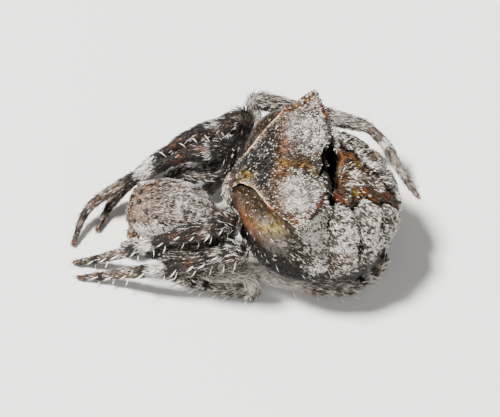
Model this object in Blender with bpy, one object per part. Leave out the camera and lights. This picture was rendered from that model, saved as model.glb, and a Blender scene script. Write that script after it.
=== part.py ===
"""A humped orb-weaver spider at rest, life size, with its legs drawn in, on a flat floor.

Metres, +Z up. The spider faces -Y and its left side is +X. The origin lies on the floor under
the middle of the whole spider. Sizes and places below are in millimetres, measured from the
middle of the carapace along X and Y and from the floor along Z; MM and place() turn them to metres.
"""

import math

import bpy
import numpy as np

MM = 0.001
MIDDLE_X = -0.60
MIDDLE_Y = 2.63

# The gap left where one length of a leg follows on from another.
GAP = 0.15

# The front shield, or carapace.
CARAPACE_LONG = 3.2
CARAPACE_WIDE = 2.6
CARAPACE_RIM = 1.78
CARAPACE_TOP = 2.92
CARAPACE_UNDER = 1.36
CARAPACE_AROUND = 22
CARAPACE_RINGS = 14
# Powers of the sine from end to end: small is blunt. The head end is blunter than the rear.
HEAD_POWER = 0.6
REAR_POWER = 0.8
CROWN_POWER = 0.7
RIM_POWER = 0.6
# The rear is lower by this share, and a dip behind the head has this depth, middle and width.
REAR_FALL = 0.2
NECK_DIP = (0.06, 0.25, 0.25)
# How far the sides tuck in below the rim, and the angle left open at each end for the poles.
TUCK = 0.3
POLE_ANGLE = 0.09

# The abdomen: its widest line, its lowest and highest middle points.
ABDOMEN_WIDE = 5.7
ABDOMEN_LONG = 5.95
ABDOMEN_MIDDLE_Y = 5.33
ABDOMEN_WAIST_Z = 3.0
ABDOMEN_UNDER_Z = 0.78
UNDER_AHEAD = 0.3
PLATE_MIDDLE_Y = 4.75
PLATE_MIDDLE_Z = 5.6
# The rim of the flat back plate, for one side: degrees round from the front, out, back and up.
RIM = (
    (0, 0.0, 2.12, 4.15),
    (9, 0.46, 2.15, 4.22),
    (18, 0.58, 2.58, 4.92),
    (36, 1.20, 3.15, 5.52),
    (63, 2.19, 3.85, 5.73),
    (90, 3.13, 4.92, 5.92),
    (106, 2.15, 5.50, 5.62),
    (128, 1.20, 5.78, 5.45),
    (180, 0.0, 5.88, 5.38),
)
# The plate's middle line, back and up, and how much higher it is at the tips of the humps.
PLATE_LINE = ((2.0, 4.1), (2.55, 4.94), (3.15, 5.46), (3.9, 5.6), (4.9, 5.6), (5.75, 5.41), (6.2, 5.3))
HUMP_RISE = 0.32
HUMP_OUT = 3.13
# A soft pad on each half of the plate: its rise, its middle out and back, and its width.
PAD_RISE = 0.16
PAD_OUT = 1.45
PAD_BACK = 4.6
PAD_WIDTH = 0.78
# Forms between waist and rim: how far each stands out, its middle and width in degrees from the front,
# and a power, over 1 to set its fullest point high. The flanks draw in, so the humps stand out as cones.
SWOLLEN_FACE = (0.62, 54, 28, 1.6)
KEEL = (0.42, 0, 13, 0.8)
FLANK_HOLLOW = (-0.42, 90, 24, 1.3)
# How straight the wall runs up below a hump, from 0 for round, and over how many degrees.
STRAIGHT_WALL = (0.75, 90, 26)
# The rim's own height in front, at the humps and behind, and where it changes from front to back.
LIP_FRONT = 0.34
LIP_HUMP = 0.22
LIP_BACK = 0.12
LIP_TURNS_AT = (95, 20)
LIP_FLARE = 0.02
# How full the belly is: a power under 1 of the sine from its lowest point to the waist.
BELLY_FULL = 0.85
# Rings of points: how many round, on the belly and on the wall, and the shares of the way in on the plate.
ABDOMEN_AROUND = 80
BELLY_RINGS = 6
WALL_RINGS = 13
PLATE_SHARES = (0.08, 0.26, 0.5, 0.75)
# Folds that ring the back part: where along the body, how deep and how wide.
FOLDS = ((5.98, 0.22, 0.16), (7.0, 0.12, 0.16))
# The folds draw the skin in towards this height, fully above FOLD_HIGH and not at all below FOLD_LOW.
FOLD_CENTRE_Z = 3.2
FOLD_REACH = 2.4
FOLD_LOW = 2.0
FOLD_HIGH = 3.2

# Legs: half thickness of each length, hair included.
COXA_R = 0.22
FEMUR_R = 0.3
KNEE_R = 0.34
TIBIA_R = 0.44
ANKLE_R = 0.31
# The hind thighs are this much thicker, in their long pale hair.
HEAVY_THIGH = 1.55
METATARSUS_R = 0.29
TARSUS_R = 0.22
TOE_R = 0.12
# How far a domed end stands out, as a share of the half thickness there.
DOME = 0.35
# How far a metatarsus bows out and up from the straight line.
BOW = 0.12
# The pose of each leg: its femur from the hip to the knee, then the middles of the other joints,
# and how stout it is beside the first legs.
POSE = {
    "left_1": dict(
        femur=((1.02, -0.62, 1.24), (1.46, -0.56, 1.26), (1.74, 0.1, 1.8), (1.68, 1.1, 2.12),
               (1.62, 2.32, 2.82)),
        knee=(1.66, 2.54, 4.02), ankle=(1.74, 0.5, 2.96), heel=(1.42, -2.3, 0.62), toe=(1.4, -3.42, 0.12),
    ),
    "left_2": dict(
        femur=((1.1, 0.1, 1.2), (1.62, 0.16, 1.12), (2.02, 0.8, 1.24), (2.1, 1.75, 1.55),
               (2.27, 2.72, 2.25)),
        knee=(2.4, 2.93, 3.38), ankle=(2.42, 1.08, 2.22), heel=(2.04, -2.05, 0.45), toe=(2.04, -3.18, 0.12),
    ),
    "left_3": dict(
        femur=((1.06, 0.82, 1.16), (1.46, 0.86, 0.9), (1.75, 1.5, 0.8), (1.94, 2.25, 0.98), (1.98, 3.02, 1.16)),
        knee=(2.08, 3.3, 0.36), ankle=(2.05, 1.85, 0.3),
        heel=(1.8, 0.6, 0.26), toe=(1.6, -0.15, 0.12), stout=0.85,
    ),
    "left_4": dict(
        femur=((0.84, 1.5, 1.12), (1.0, 1.85, 0.82), (1.08, 2.6, 0.56), (1.36, 3.7, 0.52),
               (1.74, 4.84, 0.52)),
        knee=(1.8, 5.24, 0.56), ankle=(1.55, 6.85, 0.32),
        heel=(0.35, 7.85, 0.26), toe=(-0.7, 7.6, 0.12), stout=0.9,
    ),
    "right_1": dict(
        femur=((-1.02, -0.62, 1.24), (-1.46, -0.56, 1.26), (-1.74, 0.1, 1.8), (-1.62, 1.0, 2.0),
               (-1.5, 1.95, 2.58)),
        knee=(-1.68, 2.1, 3.86), ankle=(-1.86, 0.32, 2.9),
        heel=(-0.62, -3.05, 0.86), toe=(0.62, -3.55, 0.12),
    ),
    "right_2": dict(
        femur=((-1.1, 0.1, 1.2), (-1.62, 0.18, 1.12), (-2.15, 0.74, 1.34), (-2.55, 1.4, 1.95),
               (-2.9, 2.3, 2.95)),
        knee=(-2.98, 2.6, 4.08), ankle=(-2.46, 0.0, 2.75), heel=(-1.15, -2.3, 0.5), toe=(-0.1, -2.75, 0.12),
    ),
    "right_3": dict(
        femur=((-1.06, 0.82, 1.16), (-1.46, 0.94, 0.95), (-1.9, 1.2, 0.8), (-2.35, 1.4, 0.95),
               (-2.8, 1.62, 1.3)),
        knee=(-3.4, 1.5, 1.3), ankle=(-3.2, 0.2, 0.7),
        heel=(-2.85, -0.9, 0.3), toe=(-2.6, -1.5, 0.12), stout=0.85,
    ),
    "right_4": dict(
        femur=((-0.84, 1.5, 1.12), (-1.2, 1.9, 0.92), (-2.2, 2.35, 1.0), (-3.1, 2.6, 1.85),
               (-3.82, 2.72, 3.15)),
        knee=(-3.95, 2.35, 3.86), ankle=(-4.2, 6.85, 2.36),
        heel=(-3.3, 8.2, 0.75), toe=(-2.86, 8.8, 0.12), stout=0.9,
    ),
}

# Small parts: middles from root to tip, then the half thickness at each. Pairs give the left one.
STERNUM = (((0, -0.7, 1.06), (0, -0.2, 1.02), (0, 0.5, 1.0), (0, 1.15, 1.04)), (0.12, 0.17, 0.16, 0.05))
STERNUM_WIDE = 3.6
PEDICEL = (((0, 1.86, 1.86), (0, 2.06, 1.9), (0, 2.24, 1.94)), (0.2, 0.2, 0.22))
CHELICERA = (((0.34, -1.22, 1.05), (0.35, -1.32, 0.8), (0.28, -1.24, 0.46)), (0.28, 0.29, 0.17))
PEDIPALP = (((0.84, -1.06, 1.06), (0.92, -1.34, 0.92), (0.82, -1.56, 0.62), (0.62, -1.62, 0.32)),
            (0.17, 0.2, 0.2, 0.13))
SPINNERET = (((0.3, 6.95, 0.72), (0.28, 7.16, 0.74), (0.24, 7.38, 0.7)), (0.22, 0.21, 0.12))

# Eyes: out, back, up and half width, for one side.
EYES = {
    "front_middle": (0.2, -1.54, 2.45, 0.1),
    "back_middle": (0.24, -1.22, 2.77, 0.11),
    "front_side": (0.8, -1.5, 2.08, 0.08),
    "back_side": (0.88, -1.34, 2.32, 0.08),
}


def clear_scene():
    for obj in list(bpy.data.objects):
        bpy.data.objects.remove(obj)


def finish(name, colour, roughness):
    """A plain horny or hairy surface of one sRGB colour."""
    made = bpy.data.materials.new(name)
    made.use_nodes = True
    shader = made.node_tree.nodes["Principled BSDF"]
    channels = [int(colour[i : i + 2], 16) / 255 for i in (0, 2, 4)]
    linear = [c / 12.92 if c <= 0.04045 else ((c + 0.055) / 1.055) ** 2.4 for c in channels]
    shader.inputs["Base Color"].default_value = (*linear, 1)
    shader.inputs["Roughness"].default_value = roughness
    shader.inputs["Metallic"].default_value = 0
    return made


def place(points):
    """Body millimetres to metres from the origin on the floor."""
    moved = np.asarray(points, float) - (MIDDLE_X, MIDDLE_Y, 0)
    return moved * MM


def closed_skin(name, rows, first, last, material):
    """A closed body from rings of points, with a fan of triangles to a pole at each end.

    rows has the shape (rings, points round, 3), wound so that the faces point out.
    """
    rings, around, _ = rows.shape
    points = np.vstack([rows.reshape(-1, 3), [first, last]])
    grid = np.arange(rings * around).reshape(rings, around)
    right = np.roll(grid, -1, axis=1)
    faces = [
        (grid[k, j], right[k, j], right[k + 1, j], grid[k + 1, j])
        for k in range(rings - 1)
        for j in range(around)
    ]
    faces += [(right[0, j], grid[0, j], rings * around) for j in range(around)]
    faces += [(grid[-1, j], right[-1, j], rings * around + 1) for j in range(around)]
    root = place(first)
    mesh = bpy.data.meshes.new(name)
    mesh.from_pydata((place(points) - root).tolist(), [], faces)
    mesh.update()
    mesh.shade_smooth()
    mesh.materials.append(material)
    made = bpy.data.objects.new(name, mesh)
    made.location = root
    made.parent = body_empty
    spider.objects.link(made)
    return made


def smooth_path(points, steps):
    """Points along a Catmull-Rom curve through the given ones, steps to each span."""
    knots = np.asarray(points, float)
    padded = np.vstack([2 * knots[0] - knots[1], knots, 2 * knots[-1] - knots[-2]])
    u = (np.arange(steps) / steps)[:, None]
    spans = []
    for a, b, c, d in zip(padded, padded[1:], padded[2:], padded[3:]):
        bend = 2 * a - 5 * b + 4 * c - d
        spans.append(0.5 * (2 * b + (c - a) * u + bend * u**2 + (3 * b - a - 3 * c + d) * u**3))
    return np.vstack(spans + [knots[-1:]])


def rings_along(path, radii, sides):
    """Round rings square to a path, turned as little as possible from one to the next."""
    along = np.gradient(path, axis=0)
    along /= np.linalg.norm(along, axis=1)[:, None]
    across = np.cross(along[0], (0.3, 0.2, 0.93))
    turn = 2 * math.pi * np.arange(sides) / sides
    rings = []
    for centre, forward, radius in zip(path, along, radii):
        across = across - forward * (across @ forward)
        across /= np.linalg.norm(across)
        up = np.cross(forward, across)
        offset = np.cos(turn)[:, None] * across + np.sin(turn)[:, None] * up
        rings.append(centre + radius * offset)
    return np.array(rings), along


def limb(name, joints, radii, material, steps=3, sides=8, blunt=0.75, wide=1):
    """A round limb through joint centres, with a half thickness at each and domed ends.

    wide makes it that many times broader from side to side than its half thickness.
    """
    path = smooth_path(joints, steps)
    stations = np.linspace(0, len(radii) - 1, len(path))
    thick = np.interp(stations, np.arange(len(radii)), radii)
    rings, along = rings_along(path, thick, sides)
    rings[..., 0] = path[:, None, 0] + (rings[..., 0] - path[:, None, 0]) * wide
    for end in (0, -1):
        rings[end] = path[end] + (rings[end] - path[end]) * blunt
    first = path[0] - along[0] * thick[0] * DOME
    last = path[-1] + along[-1] * thick[-1] * DOME
    rings[..., 2] = np.maximum(rings[..., 2], 0)
    first[2], last[2] = max(first[2], 0), max(last[2], 0)
    return closed_skin(name, rings, first, last, material)


def bell(value, middle, width):
    """1 at the middle, falling off as a bell of that width."""
    return np.exp(-(((value - middle) / width) ** 2))


def plate_height(x, y):
    """The back plate: the middle line's height at y, higher by the square of the distance out, and padded."""
    pads = PAD_RISE * bell(np.abs(x), PAD_OUT, PAD_WIDTH) * bell(y, PAD_BACK, PAD_WIDTH)
    return np.interp(y, *np.array(PLATE_LINE).T) + HUMP_RISE * (x / HUMP_OUT) ** 2 + pads


def abdomen():
    """The humped abdomen, lofted from its underside over the waist and rim to the back plate.

    Going up the wall, height and distance follow a quarter ellipse, straighter below the humps, and
    each form of the wall adds a half wave of its own height.
    """
    turn = 2 * math.pi * np.arange(ABDOMEN_AROUND) / ABDOMEN_AROUND
    degrees = np.degrees(turn)
    half = np.minimum(degrees, 360 - degrees)
    angles, out, back, up = np.array(RIM).T
    side = np.where(degrees <= 180, 1, -1)
    rim = np.stack([side * np.interp(half, angles, out), np.interp(half, angles, back),
                    np.interp(half, angles, up)], axis=1)
    waist = np.stack([
        ABDOMEN_WIDE / 2 * np.sin(turn),
        ABDOMEN_MIDDLE_Y - ABDOMEN_LONG / 2 * np.cos(turn),
        np.full(ABDOMEN_AROUND, ABDOMEN_WAIST_Z),
    ], axis=1)
    under = np.array([0, ABDOMEN_MIDDLE_Y - UNDER_AHEAD, ABDOMEN_UNDER_Z])
    plate = np.array([0, PLATE_MIDDLE_Y, PLATE_MIDDLE_Z])
    straight = STRAIGHT_WALL[0] * bell(half, *STRAIGHT_WALL[1:])
    behind = np.clip((half - LIP_TURNS_AT[0]) / LIP_TURNS_AT[1], 0, 1)
    lip = LIP_FRONT + (LIP_BACK - LIP_FRONT) * behind
    lip = lip + (LIP_HUMP - lip) * straight
    outward = rim[:, :2] - plate[:2]
    outward /= np.linalg.norm(outward, axis=1)[:, None]
    foot = rim.copy()
    foot[:, 2] -= lip
    foot[:, :2] += outward * LIP_FLARE
    rows = []
    for step in np.arange(1, BELLY_RINGS + 1) / (BELLY_RINGS + 1):
        bend = math.pi / 2 * step
        row = waist.copy()
        row[:, :2] = under[:2] + (waist[:, :2] - under[:2]) * math.sin(bend) ** BELLY_FULL
        row[:, 2] = waist[:, 2] - (waist[:, 2] - under[2]) * math.cos(bend)
        rows.append(row)
    for step in np.linspace(0, 1, WALL_RINGS):
        bend = math.pi / 2 * step
        fall = (1 - straight) * math.cos(bend) + straight * (1 - step)
        rise = (1 - straight) * math.sin(bend) + straight * step
        row = foot + (waist - foot) * fall[:, None]
        for size, middle, width, power in (SWOLLEN_FACE, KEEL, FLANK_HOLLOW):
            wave = size * bell(half, middle, width) * math.sin(math.pi * step**power)
            row[:, :2] += outward * wave[:, None]
        row[:, 2] = waist[:, 2] + (foot[:, 2] - waist[:, 2]) * rise
        rows.append(row)
    rows.append(rim)
    for share in PLATE_SHARES:
        row = rim + (plate - rim) * share
        row[:, 2] = plate_height(row[:, 0], row[:, 1])
        rows.append(row)
    rows = np.array(rows)
    for middle, depth, width in FOLDS:
        high = np.clip((rows[..., 2] - FOLD_LOW) / (FOLD_HIGH - FOLD_LOW), 0, 1)
        pull = 1 - depth * bell(rows[..., 1], middle, width) * high / FOLD_REACH
        rows[..., 0] *= pull
        rows[..., 2] = FOLD_CENTRE_Z + (rows[..., 2] - FOLD_CENTRE_Z) * pull
    return closed_skin("abdomen", rows, under, plate, grey_scale)


def carapace():
    """The domed shield with the head in front, tucked in below its rim."""
    turn = 2 * math.pi * np.arange(CARAPACE_AROUND) / CARAPACE_AROUND
    lowered = np.clip(-np.sin(turn), 0, 1)
    rows = []
    for step in np.linspace(POLE_ANGLE, math.pi - POLE_ANGLE, CARAPACE_RINGS):
        along = -CARAPACE_LONG / 2 * math.cos(step)
        breadth = CARAPACE_WIDE / 2 * math.sin(step) ** (HEAD_POWER if along < 0 else REAR_POWER)
        top = (CARAPACE_TOP - CARAPACE_RIM) * math.sin(step) ** CROWN_POWER
        depth, middle, width = NECK_DIP
        top *= 1 - REAR_FALL * max(0, along) / (CARAPACE_LONG / 2) - depth * bell(along, middle, width)
        lower = (CARAPACE_RIM - CARAPACE_UNDER) * math.sin(step) ** RIM_POWER
        x = breadth * np.cos(turn) * (1 - TUCK * lowered**2)
        z = CARAPACE_RIM + np.where(np.sin(turn) > 0, top, lower) * np.sin(turn)
        rows.append(np.stack([x, np.full(CARAPACE_AROUND, along), z], axis=1))
    rows = np.array(rows)
    front = np.array([0, -CARAPACE_LONG / 2, CARAPACE_RIM])
    rear = np.array([0, CARAPACE_LONG / 2, CARAPACE_RIM])
    return closed_skin("carapace", rows[:, ::-1], front, rear, brown_grey)


def small_trim():
    """Breastplate, stalk to the abdomen, jaws, feelers and spinnerets."""
    limb("sternum", *STERNUM, dark_horn, wide=STERNUM_WIDE)
    limb("pedicel", *PEDICEL, dark_horn)
    for side, sign in (("left", 1), ("right", -1)):
        for name, (middles, radii), material in (
            ("chelicera", CHELICERA, dark_horn),
            ("pedipalp", PEDIPALP, brown_grey),
            ("spinneret", SPINNERET, brown_grey),
        ):
            limb(f"{name}_{side}", np.array(middles) * (sign, 1, 1), radii, material)


def eyes():
    """Eight small bright eyes, four to a side, each just clear of the shield."""
    for label, (out, back, up, radius) in EYES.items():
        for side, sign in (("left", 1), ("right", -1)):
            centre = place((sign * out, back, up))
            bpy.ops.mesh.primitive_ico_sphere_add(subdivisions=2, radius=radius * MM, location=centre)
            eye = bpy.context.active_object
            eye.name = f"eye_{label}_{side}"
            eye.data.materials.append(black_gloss)
            eye.data.shade_smooth()
            for holder in list(eye.users_collection):
                holder.objects.unlink(eye)
            spider.objects.link(eye)
            eye.parent = body_empty


def leg(label, femur, knee, ankle, heel, toe, stout=1.0):
    """One leg in three lengths: hip to knee, knee to ankle, ankle to toe."""
    thigh = FEMUR_R * (HEAVY_THIGH if label.endswith("4") else 1)
    limb(f"leg_{label}_femur", femur, (COXA_R, COXA_R, thigh, thigh, FEMUR_R), finishes["femur"])
    knee, ankle, heel = np.array(knee), np.array(ankle), np.array(heel)
    limb(f"leg_{label}_tibia", (knee, (knee + ankle) / 2, ankle),
         (KNEE_R * stout, TIBIA_R * stout, ANKLE_R * stout), finishes["tibia"])
    forward = (heel - ankle) / np.linalg.norm(heel - ankle)
    start = ankle + forward * ((ANKLE_R + METATARSUS_R) * DOME + GAP)
    middle = (start + heel) / 2 + np.array([math.copysign(BOW, knee[0]), 0, BOW])
    limb(f"leg_{label}_foot", (start, middle, heel, toe),
         (METATARSUS_R * 0.95 * stout, METATARSUS_R * stout, TARSUS_R * stout, TOE_R), finishes["foot"])


clear_scene()
spider = bpy.data.collections.new("spider")
bpy.context.scene.collection.children.link(spider)
body_empty = bpy.data.objects.new("body", None)
spider.objects.link(body_empty)

grey_scale = finish("grey_scaled_skin", "8D8580", 0.7)
brown_grey = finish("brown_grey_hair", "9A8A84", 0.75)
dark_horn = finish("dark_horn", "4A342A", 0.45)
black_gloss = finish("black_eye", "120E0C", 0.1)
finishes = {
    "femur": finish("leg_grey_hair", "77706A", 0.8),
    "tibia": finish("leg_dark_hair", "5B5049", 0.8),
    "foot": finish("leg_banded_hair", "8A7F72", 0.8),
}

carapace()
abdomen()
small_trim()
eyes()
for leg_label, joints in POSE.items():
    leg(leg_label, **joints)
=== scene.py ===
"""An orb weaver spider with a humped abdomen, life size, its legs drawn in, on a pale floor.

Sizes and places are in millimetres, measured from the middle of the front shield along X and Y and
from the floor along Z, with the spider facing -Y and its left side towards +X. to_world() turns them
to metres. Every skin lies just inside the solid that it stands for, and its hair comes out to it.
"""
import math
import bpy
import numpy as np
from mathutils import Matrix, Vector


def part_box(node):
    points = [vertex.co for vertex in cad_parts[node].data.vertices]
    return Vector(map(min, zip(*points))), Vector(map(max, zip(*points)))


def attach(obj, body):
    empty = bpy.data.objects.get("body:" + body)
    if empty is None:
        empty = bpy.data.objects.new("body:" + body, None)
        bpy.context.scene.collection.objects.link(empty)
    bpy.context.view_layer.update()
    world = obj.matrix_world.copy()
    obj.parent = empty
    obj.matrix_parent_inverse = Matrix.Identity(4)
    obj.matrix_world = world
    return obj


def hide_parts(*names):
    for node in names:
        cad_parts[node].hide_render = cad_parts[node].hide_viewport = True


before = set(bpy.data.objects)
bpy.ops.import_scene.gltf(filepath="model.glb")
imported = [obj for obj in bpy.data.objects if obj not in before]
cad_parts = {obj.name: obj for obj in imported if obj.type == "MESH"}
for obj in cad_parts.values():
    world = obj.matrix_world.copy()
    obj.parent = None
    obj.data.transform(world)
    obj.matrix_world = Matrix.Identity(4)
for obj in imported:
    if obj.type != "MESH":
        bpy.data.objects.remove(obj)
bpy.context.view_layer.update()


# Abdomen: the soft bag behind the waist, thin tough hide over flesh, grown as one skin with no seam. Its
# flat back plate ends in two pointed shoulder humps and overhangs a smooth bulge in front. Behind the
# plate a deep groove crosses it, and then it falls away in folds.
MM = 0.001
# The middle of the whole spider's box, which lies over the frame's origin.
MIDDLE = np.array([-0.60, 2.63, 0.0])
# How far the skins lie inside the solids, to leave room for the hair.
COAT_DEPTH = 0.05

AROUND = 420
BELLY_ROWS = 46
FACE_ROWS = 96
EDGE_ROWS = 10
PLATE_ROWS = 70
# The lowest point, the middle of the plate, and the waist: an ellipse level with the floor.
UNDER = np.array([0.0, 5.03, 0.78])
CROWN = np.array([0.0, 4.75, 5.6])
WAIST_HIGH = 3.0
WAIST_HALF_WIDE = 2.85
WAIST_HALF_LONG = 2.975
WAIST_BACK = 5.33
# The plate's rim: the degrees from the front, then how far out, how far back and how high it runs.
RIM_KNOTS = np.array([
    (0, 0.0, 2.12, 4.15), (9, 0.46, 2.15, 4.22), (18, 0.58, 2.58, 4.92), (36, 1.20, 3.15, 5.52),
    (63, 2.19, 3.85, 5.73), (90, 3.13, 4.92, 5.92), (106, 2.15, 5.50, 5.62), (128, 1.20, 5.78, 5.45),
    (180, 0.0, 5.88, 5.38)])
# The rim's corners are rounded by a bell of this many degrees, on points this many degrees apart.
RIM_SOFT = 2.2
RIM_STEP = 0.5
BELL_REACH = 12
# The plate's middle line from front to rear, and how much higher the plate is at the humps and the pads.
PLATE_BACK = (2.0, 2.3, 2.55, 2.8, 3.15, 3.5, 3.9, 4.9, 5.75, 6.2)
PLATE_HIGH = (4.1, 4.55, 4.94, 5.2, 5.46, 5.56, 5.6, 5.6, 5.41, 5.3)
HUMP_OUT = 3.13
HUMP_RISE = 0.32
PAD_RISE = 0.16
# Below the humps the faces are straighter by this share, in a bell of this middle and width in degrees.
STRAIGHT = (0.75, 90, 26)
# What moves the faces outwards: the most, its middle and width in degrees, and the power of its sine.
SWOLLEN_FACE = (0.62, 54, 28, 1.6)
KEEL = (0.42, 0, 13, 0.8)
DRAWN_FLANK = (-0.42, 90, 24, 1.3)
# The height of the plate's edge in front and behind the humps, and the most at the humps.
EDGE_HIGH = 0.34
EDGE_LOWER_BEHIND = 0.22
EDGE_AT_HUMP = 0.22


def to_world(points):
    """Body millimetres to metres from the origin on the floor."""
    return (np.asarray(points, float) - MIDDLE) * MM


def smooth(value, low, high):
    """0 below low, 1 above high, and a cubic ease between."""
    t = np.clip((value - low) / (high - low), 0, 1)
    return t * t * (3 - 2 * t)


def hump(value, middle, width):
    """1 at the middle, falling off as a bell of that width."""
    return np.exp(-(((value - middle) / width) ** 2))


def between(value, low, high, soft):
    """1 from low to high, with eased edges of the given width."""
    return smooth(value, low - soft / 2, low + soft / 2) * smooth(value, high + soft / 2, high - soft / 2)


def mottle(points, size, seed):
    """Soft random values from 0 to 1: one for each corner of a cubic lattice of that size, eased between."""
    place = np.asarray(points) / size
    cell = np.floor(place).astype(np.int64)
    part = place - cell
    part = part * part * (3 - 2 * part)
    total = np.zeros(place.shape[:-1])
    for corner in np.ndindex(2, 2, 2):
        key = (cell + corner) @ np.array([73856093, 19349663, 83492791]) + seed * 2654435
        key = (key ^ (key >> 13)) * 1274126177 & 0x7FFFFFFF
        share = np.prod(np.where(np.array(corner) == 1, part, 1 - part), axis=-1)
        total += ((key ^ (key >> 15)) % 8191) / 8190 * share
    return total


def plate_height(x, y):
    """The back plate: the middle line's height at y, plus a rise with the square of the way out to the
    humps, plus a bell at each pad."""
    middle = np.interp(y, PLATE_BACK, PLATE_HIGH)
    pad = PAD_RISE * hump(np.abs(x), 1.45, 0.78) * hump(y, 4.6, 0.78)
    return middle + HUMP_RISE * (x / HUMP_OUT) ** 2 + pad


def rim_line(degrees, half):
    """The plate's rim: straight between its knots, carried on past both ends as its own mirror image, and
    averaged under a bell so that no corner is left."""
    fine = np.arange(-30, 211, RIM_STEP)
    mirrored = np.abs(fine)
    mirrored = np.where(mirrored > 180, 360 - mirrored, mirrored)
    sign = np.where(fine < 0, -1, 1) * np.where(fine > 180, -1, 1)
    kernel = np.exp(-((np.arange(-BELL_REACH, BELL_REACH + 1) * RIM_STEP / RIM_SOFT) ** 2))
    kernel /= kernel.sum()
    line = []
    for column, factor in ((1, sign), (2, 1), (3, 1)):
        values = np.interp(mirrored, RIM_KNOTS[:, 0], RIM_KNOTS[:, column]) * factor
        values = np.convolve(np.pad(values, BELL_REACH, mode="edge"), kernel, mode="valid")
        line.append(np.interp(half, fine, values))
    line[0] = line[0] * np.where(degrees > 180, -1, 1)
    return np.stack(line, axis=1)


def moved_out(half, step, form):
    """One form of the faces: a bell round its middle, times the sine of the way up raised to its power."""
    most, middle, width, power = form
    return most * hump(half, middle, width) * math.sin(math.pi * step**power)


def abdomen_rows():
    """Rows of points from the underside over the waist and the plate's rim to its middle.

    The belly is a quarter of an ellipse below the waist. The faces rise from the waist to the foot of the
    plate's edge by another quarter, or straighter below the humps, with the forms that move them out. The
    edge goes straight up to the rim, and the plate runs in from it at the plate's own height. Returns the
    points, the degrees from the front, and each row's level: 0 at the underside, 1 at the waist, 1.9 at
    the foot of the edge, 2 at the rim and 3 at the middle of the plate.
    """
    turn = 2 * math.pi * np.arange(AROUND) / AROUND
    degrees = np.degrees(turn)
    half = np.minimum(degrees, 360 - degrees)
    rim = rim_line(degrees, half)
    waist = np.stack([WAIST_HALF_WIDE * np.sin(turn), WAIST_BACK - WAIST_HALF_LONG * np.cos(turn),
                      np.full(AROUND, WAIST_HIGH)], axis=1)
    straight = STRAIGHT[0] * hump(half, *STRAIGHT[1:])
    edge_high = EDGE_HIGH - EDGE_LOWER_BEHIND * np.clip((half - 95) / 20, 0, 1)
    edge_high = edge_high + (EDGE_AT_HUMP - edge_high) * straight
    outward = rim[:, :2] - CROWN[:2]
    outward /= np.linalg.norm(outward, axis=1)[:, None]
    foot = rim.copy()
    foot[:, 2] -= edge_high
    foot[:, :2] += outward * 0.02
    rows, levels = [], []
    for step in (np.arange(BELLY_ROWS) + 0.4) / BELLY_ROWS:
        bend = math.pi / 2 * step
        row = waist.copy()
        row[:, :2] = UNDER[:2] + (waist[:, :2] - UNDER[:2]) * math.sin(bend) ** 0.85
        row[:, 2] = WAIST_HIGH - (WAIST_HIGH - UNDER[2]) * math.cos(bend)
        rows.append(row)
        levels.append(step)
    for step in np.linspace(0, 1, FACE_ROWS):
        bend = math.pi / 2 * step
        fall = (1 - straight) * math.cos(bend) + straight * (1 - step)
        rise = (1 - straight) * math.sin(bend) + straight * step
        row = foot + (waist - foot) * fall[:, None]
        wave = sum(moved_out(half, step, form) for form in (SWOLLEN_FACE, KEEL, DRAWN_FLANK))
        row[:, :2] += outward * wave[:, None]
        row[:, 2] = WAIST_HIGH + (foot[:, 2] - WAIST_HIGH) * rise
        rows.append(row)
        levels.append(1 + 0.9 * step)
    for step in np.arange(1, EDGE_ROWS + 1) / EDGE_ROWS:
        row = foot + (rim - foot) * step
        row[:, :2] += outward * 0.03 * math.sin(math.pi * step)
        rows.append(row)
        levels.append(1.9 + 0.1 * step)
    for step in (np.arange(PLATE_ROWS) + 0.5) / PLATE_ROWS:
        row = rim.copy()
        row[:, :2] += (CROWN[:2] - rim[:, :2]) * step
        near_rim = math.exp(-step / 0.02)
        row[:, 2] = plate_height(row[:, 0], row[:, 1]) * (1 - near_rim) + rim[:, 2] * near_rim
        rows.append(row)
        levels.append(2 + step)
    return np.array(rows), half, np.array(levels)


def row_normals(rows):
    """Outward unit normals of a closed band of rows: the way round it crossed with the way up it."""
    around = np.roll(rows, -1, axis=1) - np.roll(rows, 1, axis=1)
    upward = np.gradient(rows, axis=0)
    normals = np.cross(around, upward)
    length = np.linalg.norm(normals, axis=-1, keepdims=True)
    return normals / np.maximum(length, 1e-9)


rows, half, levels = abdomen_rows()
half = np.broadcast_to(half, rows.shape[:2])
level = np.broadcast_to(levels[:, None], rows.shape[:2])
x, y, z = rows[..., 0], rows[..., 1], rows[..., 2]
out = np.abs(x)

# The plate, its two padded mounds and raised front rim, and the shallow valley inside that rim.
plate = smooth(level, 1.93, 2.0)
pads = np.exp(-(((out - 1.5) / 0.82) ** 2) ** 1.5 - (((y - 4.78) / 0.72) ** 2) ** 1.5) * plate
ridge = np.exp(-np.clip(level - 2.0, 0, 1) / 0.03) * smooth(level, 1.97, 2.0)
ridge *= smooth(half, 96, 84) * smooth(half, 6, 14)
valley = plate * hump(level, 2.13, 0.07) * smooth(half, 92, 76) * smooth(half, 14, 24)

# The smooth front faces, the hairy keel between them, and the gap under the front rim, sunk in and painted
# black as painted shade.
face = smooth(level, 1.0, 1.1) * (1 - plate)
front = smooth(half, 92, 76) * smooth(half, 8, 16) * face
nose = smooth(half, 20, 10) * face * smooth(level, 1.0, 1.25)
gap = 0.02 + 0.05 * hump(half, 27, 13) + 0.03 * hump(half, 78, 12)
under_lip = smooth(half, 96, 86) * smooth(half, 10, 16) * smooth(level, 1.965 - gap, 1.975 - gap / 2)
under_lip *= smooth(level, 1.995, 1.98)

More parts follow.
